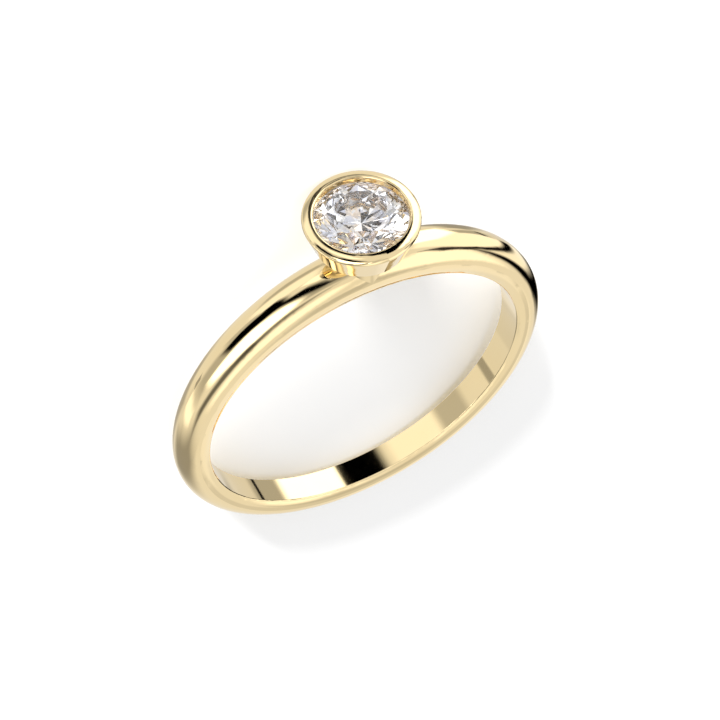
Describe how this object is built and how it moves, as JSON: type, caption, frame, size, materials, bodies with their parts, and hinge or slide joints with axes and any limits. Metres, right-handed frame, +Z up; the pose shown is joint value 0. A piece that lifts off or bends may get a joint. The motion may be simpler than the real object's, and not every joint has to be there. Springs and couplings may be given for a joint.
{
  "type": "bezel set ring",
  "caption": "Finger ring with a slender rounded band and one round brilliant held in a smooth tapered cup, lying on its side.",
  "frame": {"origin": "on the ground, under the middle of the whole lying ring", "axes": "+X from the back of the band towards the stone, +Z up, which is nearly along the finger; the finger hole's axis leans 4.63 degrees from +Z towards -X"},
  "size_m": [0.0238, 0.0204, 0.0054],
  "materials": {
    "gold": "polished yellow gold",
    "diamond": "clear, cut and polished"
  },
  "bodies": {
    "root": {"ring": "gold", "stone": "diamond"}
  },
  "joints": []
}
